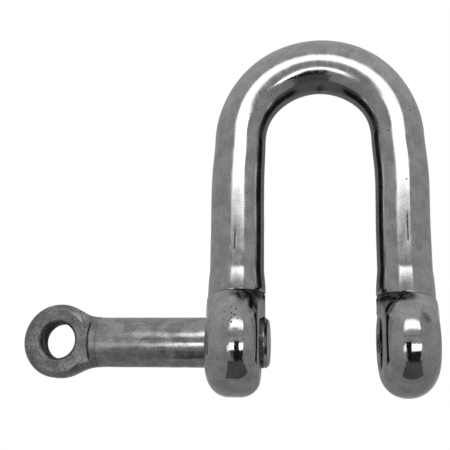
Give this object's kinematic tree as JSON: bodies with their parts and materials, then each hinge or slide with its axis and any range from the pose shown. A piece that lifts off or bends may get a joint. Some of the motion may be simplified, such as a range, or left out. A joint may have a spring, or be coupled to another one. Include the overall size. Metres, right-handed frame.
{
  "type": "dee shackle",
  "caption": "Straight-sided dee shackle with an ear at each end of its bar and a captive eye pin, backed out of the tapped ear.",
  "frame": {"origin": "on the pin's axis, midway between the inner faces of the two ears", "axes": "+X along the pin towards the tapped ear, +Z towards the bow, +Y through the bow"},
  "size_m": [0.0581, 0.0147, 0.0523],
  "materials": {
    "bar": "polished stainless steel",
    "ears": "polished stainless steel",
    "ring": "plain spring wire",
    "pin": "satin stainless steel"
  },
  "bodies": {
    "shackle": {"bow_bar": "bar", "plain_ear": "ears", "tapped_ear": "ears"},
    "ring": {"retaining_ring": "ring"},
    "pin": {"pin_shank": "pin", "pin_thread": "pin", "pin_eye": "pin"}
  },
  "joints": [
    {"name": "pin_turn", "type": "hinge", "parent": "shackle", "child": "ring", "pos_m": [-0.01248, 0, 0], "axis": [1, 0, 0], "continuous": true},
    {"name": "pin_slide", "type": "slide", "parent": "ring", "child": "pin", "axis": [1, 0, 0], "range_m": [0, 0.0171]}
  ]
}
